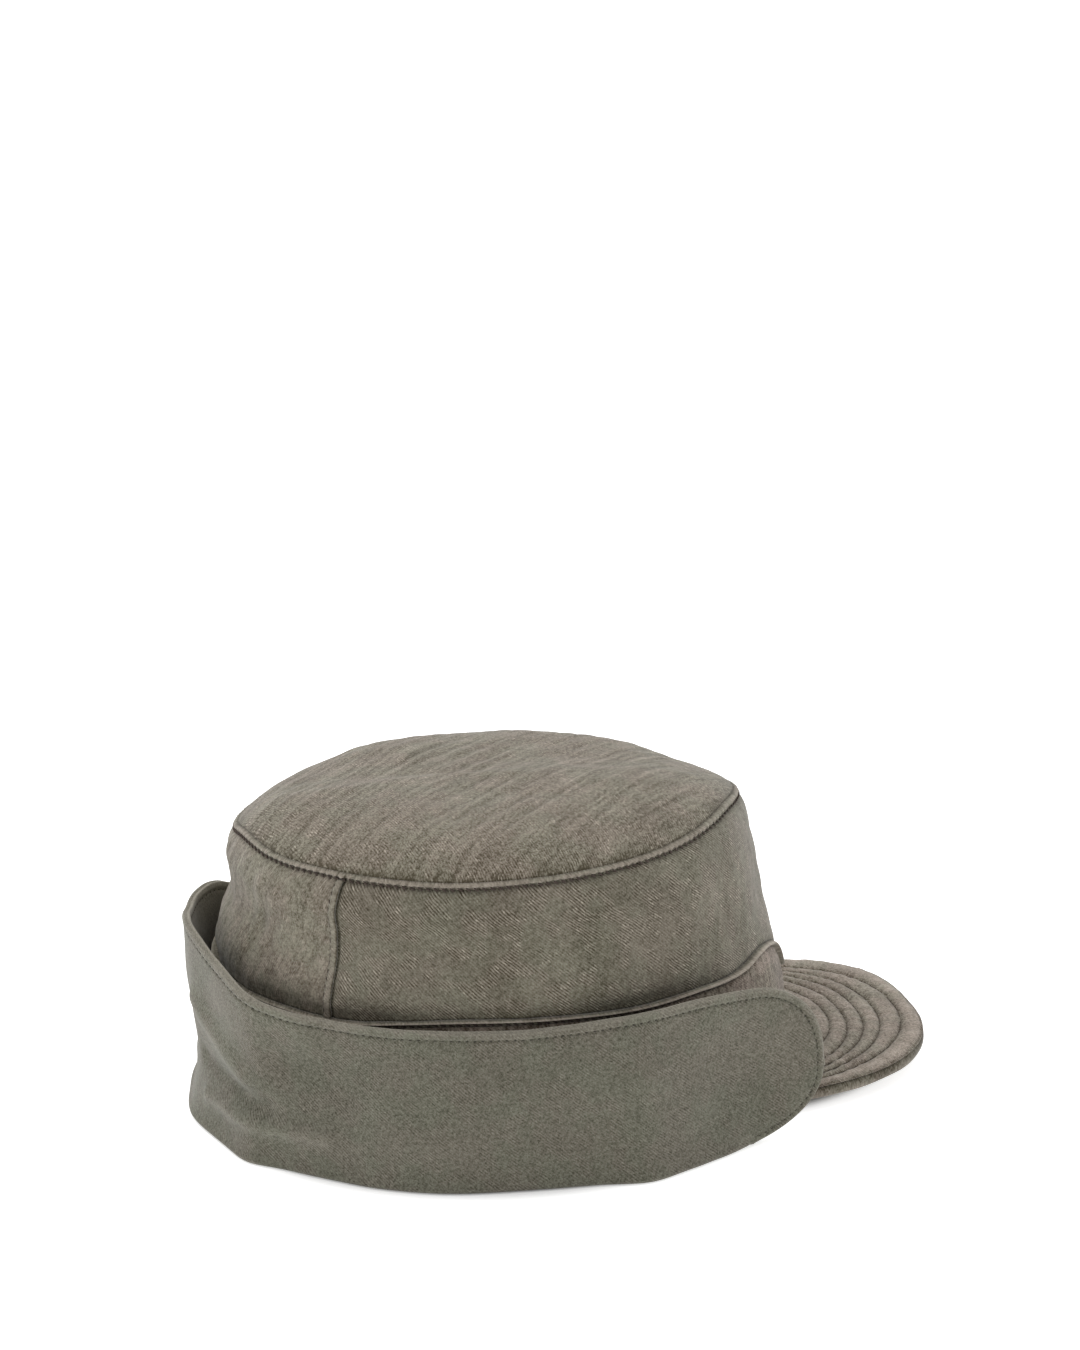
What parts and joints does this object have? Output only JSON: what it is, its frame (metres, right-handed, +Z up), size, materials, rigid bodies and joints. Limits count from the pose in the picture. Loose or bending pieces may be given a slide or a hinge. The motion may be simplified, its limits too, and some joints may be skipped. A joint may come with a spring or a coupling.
{
  "type": "field cap",
  "caption": "Soft cotton field cap with a flat oval crown, a short stitched peak and a long ear flap folded up round its sides and back, standing on that fold.",
  "frame": {"origin": "on the surface that the cap stands on, under the middle of its bounding box", "axes": "+Z up; the peak points along -Y; +X is on the wearer's left"},
  "size_m": [0.1932, 0.2654, 0.1188],
  "materials": {
    "crown_twill": "matt cotton twill, washed",
    "seam_twill": "matt cotton twill, folded and topstitched",
    "flap_twill": "matt brushed cotton twill",
    "peak_twill": "matt cotton twill, stitched in rows"
  },
  "bodies": {
    "root": {"top_panel": "crown_twill", "top_welt": "seam_twill", "front_side_panel": "crown_twill", "rear_panel": "crown_twill", "rear_seam_left": "seam_twill", "rear_seam_right": "seam_twill", "lower_welt": "seam_twill", "head_band": "crown_twill", "ear_flap": "flap_twill", "peak_top": "peak_twill", "peak_underside": "peak_twill"}
  },
  "joints": []
}
